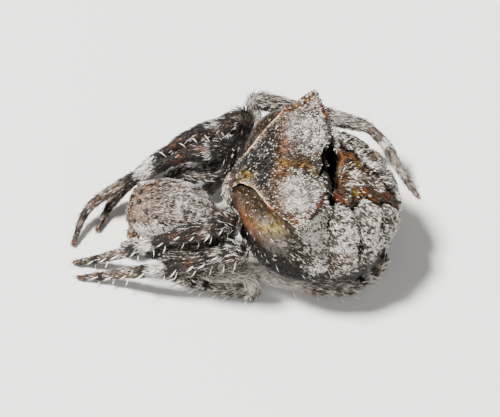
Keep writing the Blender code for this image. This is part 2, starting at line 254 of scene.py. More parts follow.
# The cross groove, which wanders and changes width, and the folds behind and beside it.
groove_line = 5.86 + 0.1 * x + 0.2 * (mottle(rows, 0.6, 5) - 0.5) + 0.16 * (mottle(rows, 0.25, 7) - 0.5)
groove = hump(y, groove_line, 0.05 + 0.16 * smooth(mottle(rows, 0.4, 6), 0.2, 0.8))
groove *= smooth(z, 3.8, 4.7) * smooth(out, 2.2, 1.6)
flank_fold = hump(y, 6.0 + 0.3 * (mottle(rows, 0.55, 8) - 0.5), 0.1)
flank_fold *= smooth(z, 1.6, 2.4) * smooth(z, 5.2, 4.8)
flank_fold *= smooth(out, 1.3, 1.7) * (0.25 + 0.75 * smooth(mottle(rows, 0.6, 9), 0.35, 0.6))
flank_fold *= 0.5 + 0.5 * smooth(z, 3.6, 4.4)
second_fold = hump(y, 6.76 + 0.36 * smooth(out, 1.35, 2.0), 0.1)
second_fold *= smooth(z, 2.0, 3.0) * smooth(out, 1.2, 1.4)
# The strip under the plate's rear edge: sunk in a little, and painted black further down as the painted
# shadow of the overhang.
under_rear = smooth(half, 96, 102) * smooth(level, 1.925, 1.945) * smooth(level, 1.99, 1.98)
rear_fold = hump(y, 7.75 + 0.1 * np.sin(2 * x), 0.12) * smooth(z, 1.9, 2.6) * smooth(out, 0.3, 0.8)

# The dark-edged field down the middle of the rear, drawn in by steps, and the grey lobes beside it.
rear = smooth(y, 5.95, 6.05)
left_edge = np.interp(y, (5.9, 6.17, 6.51, 6.76, 7.09, 7.53, 7.66, 7.85, 8.07, 8.3),
                      (1.35, 1.25, 1.32, 1.41, 0.67, 0.72, 0.74, 0.46, 0.32, 0.1))
right_edge = np.interp(y, (5.8, 6.29, 6.56, 6.91, 7.33, 7.6, 7.87, 8.1, 8.3),
                       (1.42, 1.13, 1.16, 0.72, 0.57, 0.54, 0.23, 0.3, 0.1))
edge_x = np.where(x > 0, left_edge, right_edge) + 0.05 * (mottle(rows, 0.25, 3) - 0.5)
field = rear * smooth(out, edge_x + 0.05, edge_x - 0.05)
field_line = rear * hump(out, edge_x, 0.075) * smooth(z, 2.3, 3.0)
lobes = rear * (1 - field) * smooth(z, 2.2, 3.2)

# How far the skin stands from the solid, always inside it: grooves and folds in, pads and lobes out.
lift = -COAT_DEPTH * np.ones_like(x)
lift -= 0.3 * under_lip
lift -= 0.42 * groove + 0.2 * flank_fold + 0.15 * under_rear
lift -= 0.22 * second_fold + 0.14 * rear_fold + 0.2 * field_line
lift += 0.05 * pads + 0.06 * ridge - 0.09 * valley
lift -= 0.09 * plate * hump(y, 5.05, 0.25) * hump(out, 0.35, 0.5)
lift -= 0.06 * field
lift += 0.05 * lobes * (1 - hump(y, 7.0, 0.3))
lift += 0.05 * (mottle(rows, 0.5, 11) - 0.5) * (1 - 0.7 * front)
lift += 0.07 * (mottle(rows, 0.17, 12) - 0.5) * (1 - 0.6 * front)
lift = np.minimum(lift, -0.005)
skin = rows + row_normals(rows) * lift[..., None]


def linear(code):
    """An sRGB colour written as six hex digits, as linear light."""
    c = np.array([int(code[i:i + 2], 16) / 255 for i in (0, 2, 4)])
    return np.where(c <= 0.04045, c / 12.92, ((c + 0.055) / 1.055) ** 2.4)


def paint(ground, *layers):
    """Lays colours over the ones already there, each by its own amount from 0 to 1 at each point."""
    for code, amount in layers:
        ground = ground + (linear(code) - ground) * np.clip(amount, 0, 1)[..., None]
    return ground


def patch_at(places, width):
    """Soft round patches of that width round the given (x, y) places: the sum of one bell each."""
    total = 0
    for place_x, place_y in places:
        total = total + np.exp(-((x - place_x) ** 2 + (y - place_y) ** 2) / width**2)
    return np.clip(total, 0, 1)


broad = mottle(rows, 0.9, 21)
patches = mottle(rows, 0.38, 22)
spots = mottle(rows, 0.14, 23)
streaks = mottle(rows * (0.3, 1, 1), 0.11, 24)
tint = paint(
    np.full(rows.shape, linear("3E3329")),
    ("241C15", smooth(patches, 0.4, 0.65) * 0.8),
    ("655C52", smooth(spots, 0.5, 0.75) * 0.6))

# The plate's markings: black in front and behind, brown straps round the two grey pads, and pale tips.
strap = plate * between(out, 0.35, 2.1, 0.4) * hump(y, 3.95 + 0.12 * out, 0.3)
middle_strap = plate * between(y, 3.8, 5.1, 0.4) * hump(x, 0.02, 0.24)
hump_tip = plate * smooth(out, 2.25, 2.7)
tint = paint(
    tint,
    ("12100E", plate * smooth(y, 3.75, 3.4) * smooth(out, 1.5, 0.9)),
    ("4E4A46", plate * smooth(y, 3.6, 3.3) * smooth(spots, 0.5, 0.7) * 0.8),
    ("4C2A12", strap),
    ("7A5028", strap * smooth(spots, 0.5, 0.7) * 0.8),
    ("523712", middle_strap),
    ("8B6A2C", middle_strap * smooth(spots, 0.5, 0.7) * 0.8),
    ("83621A", plate * hump(y, 2.7, 0.3) * hump(x, 0.35, 0.3) * smooth(spots, 0.4, 0.6)),
    ("0F0B09", plate * hump(y, 5.5, 0.27) * hump(x, 0.0, 0.8) * smooth(patches, 0.2, 0.45)),
    ("5A4A1A", plate * patch_at(((0.3, 5.3), (0.95, 5.55), (-0.45, 5.4)), 0.16)),
    ("6A625B", pads),
    ("9F968E", pads * smooth(patches, 0.4, 0.7) * 0.8),
    ("A69E92", hump_tip * smooth(patches, 0.2, 0.5)))

# The plate's border: dark brown behind, a thin pale rim in front, brown and red towards the humps.
rear_edge = plate * hump(level, 2.03, 0.06) * smooth(half, 92, 100)
edge_band = plate * hump(level, 2.07, 0.06) * between(half, 64, 92, 5)
tint = paint(
    tint,
    ("4A2410", plate * hump(level, 2.13, 0.05) * between(half, 78, 100, 6)),
    ("1A0E07", rear_edge * 1.3),
    ("6E3414", rear_edge * smooth(mottle(rows, 0.3, 27), 0.5, 0.6) * 0.7 * smooth(half, 140, 125)),
    ("C2A884", ridge * smooth(spots, 0.1, 0.4) * smooth(half, 66, 60)),
    ("56381A", edge_band),
    ("2A180B", ridge * smooth(half, 62, 68)),
    ("5B3B22", ridge * smooth(mottle(rows, 0.25, 28), 0.55, 0.7) * 0.8),
    ("84301A", ridge * hump(half, 62, 4)),
    ("5E2A1C", hump(half, 0, 7) * hump(level, 2.02, 0.04) * smooth(spots, 0.3, 0.6)))

# The smooth front faces: gold-brown above, red-brown in the middle, pale by the hump and olive below, with
# painted shade at the top under the rim, over the far face and in the gap under the lip.
tint = paint(
    tint,
    ("8C857C", nose),
    ("2C1A05", front),
    ("3E280A", front * smooth(level, 1.4, 1.6) * smooth(patches, 0.25, 0.5)),
    ("5E2E12", front * hump(half, 44, 18) * hump(level, 1.45, 0.17)),
    ("7E4E22", front * hump(half, 48, 16) * hump(level, 1.48, 0.2) * smooth(spots, 0.5, 0.68) * 0.8),
    # Painted shadow: the top of the front faces darker under the overhanging rim.
    ("241605", front * smooth(level, 1.66, 1.85) * smooth(half, 66, 56)),
    ("84764A", front * hump(half, 68, 9) * hump(level, 1.68, 0.13) * smooth(patches, 0.15, 0.4)),
    # Painted shade: the far front face darker because it is turned from the light.
    ("1A0F04", front * smooth(-x, 0.2, 0.8) * 0.85),
    ("A7A19B", front * hump(half, 75, 8) * hump(level, 1.42, 0.09) * smooth(spots, 0.25, 0.5)),
    ("2B2813", front * hump(half, 72, 17) * hump(level, 1.2, 0.1)),
    ("1D130A", front * smooth(spots, 0.6, 0.8) * 0.6),
    # Painted shade: the gap under the front rim painted nearly black.
    ("0A0604", under_lip * 1.5))

# The grey lobes behind the groove, browner on the right side.
tint = paint(
    tint,
    ("625A50", lobes),
    ("5A4226", lobes * smooth(broad, 0.56, 0.72) * 0.6),
    ("35302B", lobes * smooth(patches, 0.64, 0.78) * 0.6),
    ("5A4A36", lobes * smooth(-x, 0.7, 1.3) * 0.7),
    ("6E5A1E", lobes * patch_at(((1.1, 7.56), (1.72, 6.4), (-1.3, 7.3)), 0.17) * 0.8))

# The field between them: brown, with orange, rust and olive patches and pale tufts down its middle.
tufted = between(y, 6.55, 7.75, 0.3) * hump(x, -0.05 + 0.1 * np.sin(4 * y), 0.3)
tufted = tufted + between(y, 6.43, 6.58, 0.1) * between(x, 0.1, 1.15, 0.2)
tufted = np.clip(field * (tufted + between(y, 5.95, 6.7, 0.1) * hump(x, -0.2, 0.13)), 0, 1)
tint = paint(
    tint,
    ("40270F", field),
    ("1F1209", field * smooth(streaks, 0.55, 0.7) * 0.9),
    ("5E3816", field * smooth(streaks, 0.42, 0.3) * 0.7),
    ("6E6252", tufted),
    ("5A2E0E", field * patch_at(((-0.8, 6.2), (0.38, 7.15), (0.56, 7.4), (1.16, 6.36), (0.63, 6.92)), 0.15)),
    ("523014", field * patch_at(((-0.41, 7.08), (-0.75, 6.55)), 0.17)),
    ("551E0C", field * patch_at(((0.12, 7.93), (1.0, 6.1)), 0.14)),
    ("5A4A12", field * patch_at(((0.61, 6.77), (-0.5, 6.8)), 0.13)),
    ("080503", field_line * 2))

# A combed pale fringe along the field's edge, the grey flank, painted shade that blackens the folds, the
# groove and the strip under the plate's rear edge, and the dim belly.
COMB_APART = 0.12
fringe = rear * hump(out, edge_x + 0.24, 0.11) * smooth(z, 3.0, 3.6) * smooth(y, 6.05, 6.2)
comb = 0.5 + 0.5 * np.sin(2 * math.pi * y / COMB_APART)
grey_flank = (1 - front) * (1 - nose) * (1 - plate) * smooth(half, 80, 96)
grey_flank *= smooth(z, 1.9, 2.5) * smooth(y, 6.05, 5.85)
dim_line = np.interp(y, (3.2, 4.6, 6.0, 7.5), (3.75, 3.35, 2.6, 2.2))
dim = smooth(z, dim_line, dim_line - 0.35)
tint = paint(
    tint,
    ("C6BEB4", fringe * smooth(comb, 0.3, 0.6)),
    ("231A12", fringe * smooth(comb, 0.3, 0.1) * 0.8),
    ("665F55", grey_flank),
    ("3B352F", grey_flank * smooth(patches, 0.58, 0.72) * 0.8),
    # Painted shade: the folds darkened where they sink in.
    ("1C130C", flank_fold * 1.2 + second_fold * 1.1 + rear_fold * 0.7),
    # Painted shade: the groove and the strip under the plate's rear edge painted nearly black.
    ("050403", groove * 1.7 + under_rear),
    ("171411", dim * (0.85 + 0.15 * patches)))

# How glossy the skin is, from -1 for the deepest folds to 1 for the front faces, and how flecked.
smooth_face = front * (1 - dim)
gloss = np.clip(smooth_face - 2 * under_lip - 2.5 * groove - under_rear - field_line, -1, 1)
fleck = np.clip(0.35 - 0.1 * smooth_face + 0.15 * dim - under_lip - 2 * groove - 2 * field_line, 0, 1)


def start_material(name):
    """A new material, with its node tree and its shader."""
    made = bpy.data.materials.new(name)
    made.use_nodes = True
    return made, made.node_tree, made.node_tree.nodes["Principled BSDF"]


def add_node(tree, kind, sockets=None, **settings):
    """One shader node with its settings, its constant sockets set and its other sockets linked."""
    made = tree.nodes.new(kind)
    for key, value in settings.items():
        setattr(made, key, value)
    for key, value in (sockets or {}).items():
        if isinstance(value, bpy.types.NodeSocket):
            tree.links.new(value, made.inputs[key])
        else:
            made.inputs[key].default_value = value
    return made


# The pale flecks are single scales, drawn coarse enough to show: how far apart they lie in millimetres,
# their colour, and the share of the places that have one.
FLECK_APART = 0.075
FLECK_COLOUR = "D9C9A6"
FLECK_SHARE = 0.3
# The pits between scales lie this many to a grain.
PITS_TO_GRAIN = 1.6


def skin_material(name, grain_mm, bump_mm, rough, shine_rough):
    """Hide, dull where it is scaly and glossier where it is bare and stretched.

    The mesh's own tint is shaded by a grain, with pale flecks one scale wide in three cells out of ten,
    and the grain and the pits between scales give it relief.
    """
    made, tree, shader = start_material(name)
    here = add_node(tree, "ShaderNodeTexCoord").outputs["Object"]
    own = add_node(tree, "ShaderNodeAttribute", attribute_name="tint").outputs["Color"]
    shiny = add_node(tree, "ShaderNodeAttribute", attribute_name="gloss").outputs["Fac"]
    grain = add_node(tree, "ShaderNodeTexNoise",
                     {"Vector": here, "Scale": 1 / (grain_mm * MM), "Detail": 6.0, "Roughness": 0.65})
    flecked = add_node(tree, "ShaderNodeAttribute", attribute_name="fleck").outputs["Fac"]
    pits = add_node(tree, "ShaderNodeTexVoronoi", {"Vector": here, "Scale": PITS_TO_GRAIN / (grain_mm * MM)})
    scales = add_node(tree, "ShaderNodeTexVoronoi", {"Vector": here, "Scale": 1 / (FLECK_APART * MM)})
    edge = add_node(tree, "ShaderNodeMapRange",
                    {"Value": scales.outputs["Distance"], "From Min": 0.36, "From Max": 0.22})
    chosen = add_node(tree, "ShaderNodeSeparateColor", {"Color": scales.outputs["Color"]})
    few = add_node(tree, "ShaderNodeMath", {0: chosen.outputs["Red"], 1: 1 - FLECK_SHARE},
                   operation="GREATER_THAN")
    shown = add_node(tree, "ShaderNodeMath", {0: edge.outputs["Result"], 1: few.outputs["Value"]},
                     operation="MULTIPLY")
    share = add_node(tree, "ShaderNodeMath", {0: shown.outputs["Value"], 1: flecked}, operation="MULTIPLY")
    shade = add_node(tree, "ShaderNodeMapRange", {"Value": grain.outputs["Fac"], "From Min": 0.3,
                                                  "From Max": 0.7, "To Min": 0.5, "To Max": 1.45})
    tone = add_node(tree, "ShaderNodeVectorMath", {0: own, 1: shade.outputs["Result"]}, operation="MULTIPLY")
    flecks = add_node(tree, "ShaderNodeMix", {0: share.outputs["Value"], 6: tone.outputs["Vector"],
                                              7: (*linear(FLECK_COLOUR), 1)}, data_type="RGBA")
    tree.links.new(flecks.outputs[2], shader.inputs["Base Color"])
    sheen = add_node(tree, "ShaderNodeMapRange",
                     {"Value": shiny, "From Min": -1.0, "From Max": 0.0, "To Max": 0.2})
    tree.links.new(sheen.outputs["Result"], shader.inputs["Specular IOR Level"])
    dull = add_node(tree, "ShaderNodeMapRange", {"Value": shiny, "To Min": rough, "To Max": shine_rough})
    tree.links.new(dull.outputs["Result"], shader.inputs["Roughness"])
    relief = add_node(tree, "ShaderNodeMath", {0: grain.outputs["Fac"], 1: pits.outputs["Distance"]},
                      operation="ADD")
    bump = add_node(tree, "ShaderNodeBump", {"Strength": 0.6, "Distance": bump_mm * MM,
                                             "Height": relief.outputs["Value"]})
    tree.links.new(bump.outputs["Normal"], shader.inputs["Normal"])
    return made


def put_in_scene(name, data):
    """A new object at the origin that holds this mesh, lamp or camera."""
    made = bpy.data.objects.new(name, data)
    bpy.context.scene.collection.objects.link(made)
    return made


def build(name, points, faces, material, nodes, tint=None, gloss=None, fleck=None, unwrap=None):
    """One mesh piece at the origin with its colours, riding on the body and standing for the named solids."""
    mesh = bpy.data.meshes.new(name)
    mesh.from_pydata(to_world(points).tolist(), [], faces)
    mesh.update()
    mesh.shade_smooth()
    if tint is not None:
        store = mesh.attributes.new("tint", "FLOAT_COLOR", "POINT")
        opaque = np.column_stack([tint, np.ones(len(tint))])
        store.data.foreach_set("color", opaque.ravel().astype(np.float32))
    for key, values in (("gloss", gloss), ("fleck", fleck)):
        if values is not None:
            store = mesh.attributes.new(key, "FLOAT", "POINT")
            store.data.foreach_set("value", np.asarray(values, np.float32).ravel())
    if unwrap is not None:
        layer = mesh.uv_layers.new(name="OFBake")
        loops = np.empty(len(mesh.loops), np.int32)
        mesh.loops.foreach_get("vertex_index", loops)
        layer.data.foreach_set("uv", unwrap[loops].ravel().astype(np.float32))
    mesh.materials.append(material)
    made = put_in_scene(name, mesh)
    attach(made, "root")
    if nodes:
        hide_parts(*nodes)


def band_faces(count, around):
    """Quads of a closed band of rows, with a fan to the two extra points at its ends."""
    grid = np.arange(count * around).reshape(count, around)
    right = np.roll(grid, -1, axis=1)
    quads = np.stack([grid[:-1], right[:-1], right[1:], grid[1:]], axis=-1).reshape(-1, 4).tolist()
    first = [(right[0, j], grid[0, j], count * around) for j in range(around)]
    last = [(grid[-1, j], right[-1, j], count * around + 1) for j in range(around)]
    return quads + first + last


def closed_skin(name, skin, ends, tint, gloss, fleck, material, nodes):
    """A band of rows closed by a point at each end, which takes the looks of the row beside it."""
    flat = np.ones(skin.shape[:2])
    looks = np.dstack([tint, gloss * flat, fleck * flat])
    looks = np.vstack([looks.reshape(-1, 5), looks[0, :1], looks[-1, :1]])
    points = np.vstack([skin.reshape(-1, 3), *ends])
    build(name, points, band_faces(*skin.shape[:2]), material, nodes,
          looks[:, :3], looks[:, 3], looks[:, 4])


# Scaly hide: dull and finely pitted, and glossy only where it is stretched smooth in front.
scaly_skin = skin_material("scaly_soft_skin", 0.09, 0.02, 0.62, 0.36)
closed_skin("abdomen_skin", skin, (UNDER + (0, 0, COAT_DEPTH), CROWN - (0, 0, COAT_DEPTH)), tint, gloss,
            fleck, scaly_skin, ["abdomen"])


# Scale hairs of the abdomen: short, flat, pointed hairs of horn that grow out of the hide and lie close
# to it, pale and dark together, which gives it its salt-and-pepper look. The front faces are nearly bare.
# Three pieces of them keep each under the limit of triangles.
SCALES_APIECE = 15500
# The mean length and width of the hairs of each piece.
SCALE_SIZES = ((0.18, 0.034), (0.16, 0.032), (0.14, 0.03))
PALE_HAIR = "E8E0D6"
DARK_HAIR = "14110D"
# A hair's bend half way, in radians, and how deep its root goes.
HAIR_CURL = 0.2
ROOT_DEEP = 0.02
# Each hair's patch on the unwrap of the skin is this wide.
PATCH_WIDE = 0.003
# The light and dark streaks along a hair are this long.
STREAK_LONG = 0.06

# The share of pale hairs by place: most on the pads, lobes and flank, few on the belly and the bare faces.
pale_share = 0.4 + 0.46 * pads + 0.4 * lobes + 0.36 * grey_flank - 0.4 * dim + 0.35 * hump_tip + 0.3 * nose
pale_share += -0.3 * lobes * smooth(-x, 0.8, 1.4) + fringe * (comb - 0.3)
pale_share += -0.4 * edge_band - 0.4 * rear_edge - 0.3 * flank_fold
pale_share += -0.22 * plate * (1 - pads) * (1 - hump_tip) - 0.1 * plate * smooth(y, 3.75, 3.4)
pale_share += -0.2 * strap - 0.2 * middle_strap - 0.3 * smooth_face
pale_share = np.clip(pale_share - 0.3 * field * (1 - tufted) + 0.08 * tufted, 0.04, 0.95)

# How close together and how long the hairs are by place: none in the groove, few on the bare faces.
hairiness = 1 - 0.93 * smooth_face * smooth(half, 84, 70)
hairiness *= (1 - np.clip(1.9 * groove, 0, 1)) * (1 - np.clip(1.6 * field_line, 0, 1))
hairiness *= (1 - under_lip) * (1 - under_rear) * (1 - 0.7 * field * (1 - tufted)) * (1 - 0.7 * ridge)
hairiness *= (1 - 0.5 * strap) * (1 - 0.4 * middle_strap) * (1 - 0.35 * dim)
hairiness = np.clip(hairiness + 0.3 * fringe, 0, 1.3) * (1 - 0.6 * edge_band) * (1 - 0.65 * rear_edge)
hair_long = 1 - 0.3 * plate - 0.15 * pads + 0.35 * dim + 0.3 * fringe


def grow_hairs(name, material, roots, normals, lean, length, width, colours, unwrap, lift, flat=0.4):
    """One piece of tapered three-sided hairs, each its own patch on the unwrap, and none below the floor.

    A hair rises from its root at the lift, along the lean, and bends down by the curl half way. It is a
    triangle at its root, a wider one half way and a point at its tip, closed all round. Flat is its
    thickness as a share of its width.
    """
    count = len(roots)
    lean = lean - normals * np.sum(lean * normals, axis=1, keepdims=True)
    lean /= np.maximum(np.linalg.norm(lean, axis=1, keepdims=True), 1e-9)
    side = np.cross(normals, lean)
    length = np.broadcast_to(length, count)[:, None]
    width = np.broadcast_to(width, count)[:, None]
    lift = np.broadcast_to(lift, count)[:, None]
    rise = normals * np.sin(lift) + lean * np.cos(lift)
    tip_rise = normals * np.sin(lift - HAIR_CURL) + lean * np.cos(lift - HAIR_CURL)
    base = roots - normals * ROOT_DEEP
    middle = roots + rise * length * 0.5
    tip = middle + tip_rise * length * 0.5
    parts = []
    for centre, breadth in ((base, 0.8), (middle, 1.0)):
        parts += [centre - side * width * breadth / 2, centre + side * width * breadth / 2,
                  centre + normals * width * breadth * flat]
    parts.append(tip)
    points = np.stack(parts, axis=1).reshape(-1, 3)
    points[:, 2] = np.maximum(points[:, 2], 0.0)
    pattern = np.array([(0, 1, 4), (0, 4, 3), (1, 2, 5), (1, 5, 4), (2, 0, 3), (2, 3, 5),
                        (3, 4, 6), (4, 5, 6), (5, 3, 6), (0, 2, 1)])
    faces = (pattern[None] + 7 * np.arange(count)[:, None, None]).reshape(-1, 3)
    spread = np.array([(0, 0), (1, 0), (0.5, 0.3), (0, 0.6), (1, 0.6), (0.5, 0.8), (0.5, 1)]) * PATCH_WIDE
    patch = (unwrap[:, None, :] * 0.99 + spread[None]).reshape(-1, 2)
    build(name, points, faces.tolist(), material, [], np.repeat(colours, 7, axis=0), unwrap=patch)


def coat_material(name, rough):
    """Hair: horn with a soft gleam, in the mesh's own tint, a little streaked along its length."""
    made, tree, shader = start_material(name)
    here = add_node(tree, "ShaderNodeTexCoord").outputs["Object"]
    own = add_node(tree, "ShaderNodeAttribute", attribute_name="tint").outputs["Color"]
    grain = add_node(tree, "ShaderNodeTexNoise",
                     {"Vector": here, "Scale": 1 / (STREAK_LONG * MM), "Detail": 2.0})
    shade = add_node(tree, "ShaderNodeMapRange",
                     {"Value": grain.outputs["Fac"], "To Min": 0.75, "To Max": 1.25})
    tone = add_node(tree, "ShaderNodeVectorMath", {0: own, 1: shade.outputs["Result"]}, operation="MULTIPLY")
    tree.links.new(tone.outputs["Vector"], shader.inputs["Base Color"])
    shader.inputs["Roughness"].default_value = rough
    shader.inputs["Specular IOR Level"].default_value = 0.3
    return made


def hair_colours(rng, spot, ground, share):
    """Pale, dark or ground-coloured hairs: pale ones in about the given share, most of them in tufts."""
    draw = rng.random(len(ground))
    tuft = smooth(0.6 * mottle(spot, 0.13, 29) + 0.4 * mottle(spot, 0.4, 30), 0.38, 0.62)
    pale = linear(PALE_HAIR) * rng.uniform(0.6, 1.1, (len(ground), 1))
    dark = linear(DARK_HAIR) * rng.uniform(0.5, 1.5, (len(ground), 1))
    own = ground * rng.uniform(0.6, 1.2, (len(ground), 1))
    pale_chance = share * (0.2 + 0.9 * tuft)
    dark_chance = (1 - share) * (0.85 - 0.6 * tuft)
    mixed = np.where((draw < pale_chance)[:, None], pale, own)
    return np.where((draw > 1 - dark_chance)[:, None], dark, mixed)


def scatter(rng, skin, density, count):
    """Random places on a band of rows: the more likely, the larger the cell and its density."""
    here = skin[:-1]
    across = np.roll(here, -1, axis=1) - here
    along = skin[1:] - here
    area = np.linalg.norm(np.cross(across, along), axis=-1) * density[:-1]
    chance = area.ravel() / area.sum()
    cell = rng.choice(len(chance), size=count, p=chance)
    row, column = np.unravel_index(cell, area.shape)
    u, v = rng.random(count), rng.random(count)
    spot = here[row, column] + across[row, column] * u[:, None] + along[row, column] * v[:, None]
    unwrap = np.column_stack([(column + u) / area.shape[1], (row + v) / area.shape[0]])
    return spot, row, column, unwrap


# Flat scale hairs: a soft sheen on each, so that pale ones glitter a little.
scale_hair = coat_material("scale_hair", 0.5)
skin_normals = row_normals(skin)
for part, (long_mm, wide_mm) in enumerate(SCALE_SIZES):
    rng = np.random.default_rng(40 + part)
    spot, row, column, unwrap = scatter(rng, skin, hairiness, SCALES_APIECE)
    lean = np.column_stack([0.35 * np.sign(spot[:, 0]), np.ones(len(spot)), -0.5 * np.ones(len(spot))])
    lean += rng.normal(0, 0.27, lean.shape)
    shades = hair_colours(rng, spot, tint[row, column], pale_share[row, column])
    size = long_mm * rng.uniform(0.7, 1.3, len(spot)) * hair_long[row, column]
    grow_hairs(f"abdomen_scales_{part + 1}", scale_hair, spot, skin_normals[row, column],
               lean, size, wide_mm * rng.uniform(0.8, 1.2, len(spot)), shades, unwrap,
               lift=rng.uniform(0.05, 0.5, len(spot)))


# Front shield: a hard domed shell of horn over the front of the body, the head narrower and set off by a
# shallow furrow, with a small pit behind its middle where muscles hold to it from inside. Short woolly
# hair grows on it, longer at the sides.
SHIELD_AROUND = 160
SHIELD_ROWS = 120
SHIELD_HALF_LONG = 1.6
SHIELD_HALF_WIDE = 1.3
SHIELD_RIM = 1.78
DOME_HIGH = 1.14
BELLY_DEEP = 0.42
# The number of its hairs, and their mean length and their width.
WOOL_HAIRS = 11000
WOOL_LONG = 0.17
WOOL_WIDE = 0.018


def shield_rows():
    """Rows from the head end to the rear: each is a ring of two half ellipses, whose width, top and bottom
    follow powers of the sine of the way along, with a dip behind the head and the sides tucked in below."""
    turn = 2 * math.pi * np.arange(SHIELD_AROUND) / SHIELD_AROUND
    rings = []
    for step in np.linspace(0.03, math.pi - 0.03, SHIELD_ROWS):
        along = -SHIELD_HALF_LONG * math.cos(step)
        breadth = SHIELD_HALF_WIDE * math.sin(step) ** (0.6 if along < 0 else 0.8)
        top = DOME_HIGH * math.sin(step) ** 0.7
        dip = 0.06 * math.exp(-(((along - 0.25) / 0.25) ** 2))
        top *= 1 - 0.2 * max(0, along) / SHIELD_HALF_LONG - dip
        lower = BELLY_DEEP * math.sin(step) ** 0.6
        across = breadth * np.cos(turn) * (1 - 0.3 * np.clip(-np.sin(turn), 0, 1) ** 2)
        height = SHIELD_RIM + np.where(np.sin(turn) > 0, top, lower) * np.sin(turn)
        rings.append(np.stack([across, np.full(SHIELD_AROUND, along), height], axis=1))
    return np.array(rings)[:, ::-1]


rows = shield_rows()
x, y, z = rows[..., 0], rows[..., 1], rows[..., 2]
upper = smooth(z, SHIELD_RIM, 2.0)
furrow = upper * hump(np.abs(x), 0.35 + 0.35 * smooth(y, 0.3, -0.9), 0.12)
furrow *= smooth(y, 0.4, 0.1) * smooth(y, -1.1, -0.7)
pit = upper * np.exp(-((x / 0.1) ** 2) - ((y - 0.5) / 0.22) ** 2)
lift = -COAT_DEPTH - 0.05 * furrow - 0.12 * pit
lift += 0.02 * (mottle(rows, 0.4, 31) - 0.5) + 0.012 * (mottle(rows, 0.12, 32) - 0.5)
skin = rows + row_normals(rows) * lift[..., None]
spots = mottle(rows, 0.3, 33)
streaks = mottle(rows * (1, 0.2, 1), 0.12, 35)
tint = paint(
    np.full(rows.shape, linear("6A584B")),
    ("989188", smooth(streaks, 0.3, 0.6) * smooth(y, -0.7, 0.1)),
    ("3B322A", smooth(streaks, 0.62, 0.8) * smooth(y, -0.5, 0.3) * 0.8),
    ("7C6553", smooth(spots, 0.4, 0.65) * smooth(y, 0.0, -0.7) * 0.8),
    ("452A14", smooth(y, -1.2, -1.5) * 0.9),
    ("53321C", hump(y, -0.75, 0.25) * hump(x, -0.45, 0.28) * 0.85),
    ("C0B8AE", upper * smooth(np.abs(x), 0.8, 1.1) * smooth(mottle(rows, 0.15, 34), 0.2, 0.6)),
    # Painted shade: darker in the pit and along the furrow.
    ("231813", pit + 0.5 * furrow),
    ("2A1C16", smooth(z, 1.8, 1.5)))
# Hard horn: a coarser and shallower grain than the abdomen's hide, with a little more gloss.
shield_skin = skin_material("hard_shield_skin", 0.12, 0.012, 0.5, 0.35)
closed_skin("carapace_skin", skin, (skin[0].mean(axis=0), skin[-1].mean(axis=0)), tint, 0, 0.4,
            shield_skin, ["carapace"])

# Wool: duller than the flat scale hairs.
wool = coat_material("woolly_hair", 0.55)
rng = np.random.default_rng(51)
density = smooth(z, 1.5, 1.8) * (0.55 + 0.8 * smooth(np.abs(x), 0.7, 1.1) + 0.5 * smooth(y, 0.2, 0.9))
density *= smooth(y, -1.3, -0.3) * 0.6 + 0.4
spot, row, column, unwrap = scatter(rng, skin, density, WOOL_HAIRS)
lean = np.column_stack([0.3 * spot[:, 0], np.ones(len(spot)), -0.2 * np.ones(len(spot))])
lean += rng.normal(0, 0.25, lean.shape)
side = smooth(np.abs(spot[:, 0]), 0.8, 1.2)
pale_share = 0.24 + 0.54 * side + 0.42 * smooth(spot[:, 1], -0.3, 0.7)
shades = hair_colours(rng, spot, tint[row, column], pale_share)
grow_hairs("carapace_hair", wool, spot, row_normals(skin)[row, column], lean,
           WOOL_LONG * rng.uniform(0.7, 1.4, len(spot)) * (1 + 0.7 * side), WOOL_WIDE, shades, unwrap,
           lift=rng.uniform(0.05, 0.35, len(spot)), flat=0.5)


# Eyes: eight simple ones in two rows on the front of the head. Each is a small clear lens over a black
# cup, grown into the shield, so it looks like a bead of dark glass. Each stands for its own solid.
LENS_SUNK = 0.16
LENS_AROUND = 24
LENS_ROWS = 16
# The lens's two dark colours, and the size in millimetres of the clouds that mix them.
LENS_DARK = "1D1612"
LENS_WARM = "302419"
LENS_CLOUD = 0.15
# The place inside the head that the lenses are sunk towards.
HEAD_INSIDE = np.array([0, -0.4, 1.8])
# Clear horn over a black cup: nearly black all through, with one small sharp highlight.
lens, tree, shader = start_material("dark_lens")
here = add_node(tree, "ShaderNodeTexCoord").outputs["Object"]
depth = add_node(tree, "ShaderNodeTexNoise", {"Vector": here, "Scale": 1 / (LENS_CLOUD * MM)})
glow = add_node(tree, "ShaderNodeMix", {"Factor": depth.outputs["Fac"], 6: (*linear(LENS_DARK), 1),
                                        7: (*linear(LENS_WARM), 1)}, data_type="RGBA")
tree.links.new(glow.outputs[2], shader.inputs["Base Color"])
shader.inputs["Roughness"].default_value = 0.07
shader.inputs["Coat Weight"].default_value = 0.1
around = 2 * math.pi * np.arange(LENS_AROUND) / LENS_AROUND
down = np.linspace(0.12, math.pi - 0.12, LENS_ROWS)[:, None]
ball = np.stack([np.sin(down) * np.cos(around), np.sin(down) * np.sin(around),
                 -np.cos(down) * np.ones(LENS_AROUND)], axis=-1)
for node in sorted(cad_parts):
    if not node.startswith("eye"):
        continue
    low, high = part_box(node)
    centre = (np.array(low) + np.array(high)) / 2 / MM + MIDDLE
    radius = (high[0] - low[0]) / 2 / MM
    inward = HEAD_INSIDE - centre
    centre = centre + inward / np.linalg.norm(inward) * LENS_SUNK
    poles = (centre - (0, 0, radius), centre + (0, 0, radius))
    points = np.vstack([(radius * ball + centre).reshape(-1, 3), *poles])
    build(node + "_lens", points, band_faces(LENS_ROWS, LENS_AROUND), lens, [node])


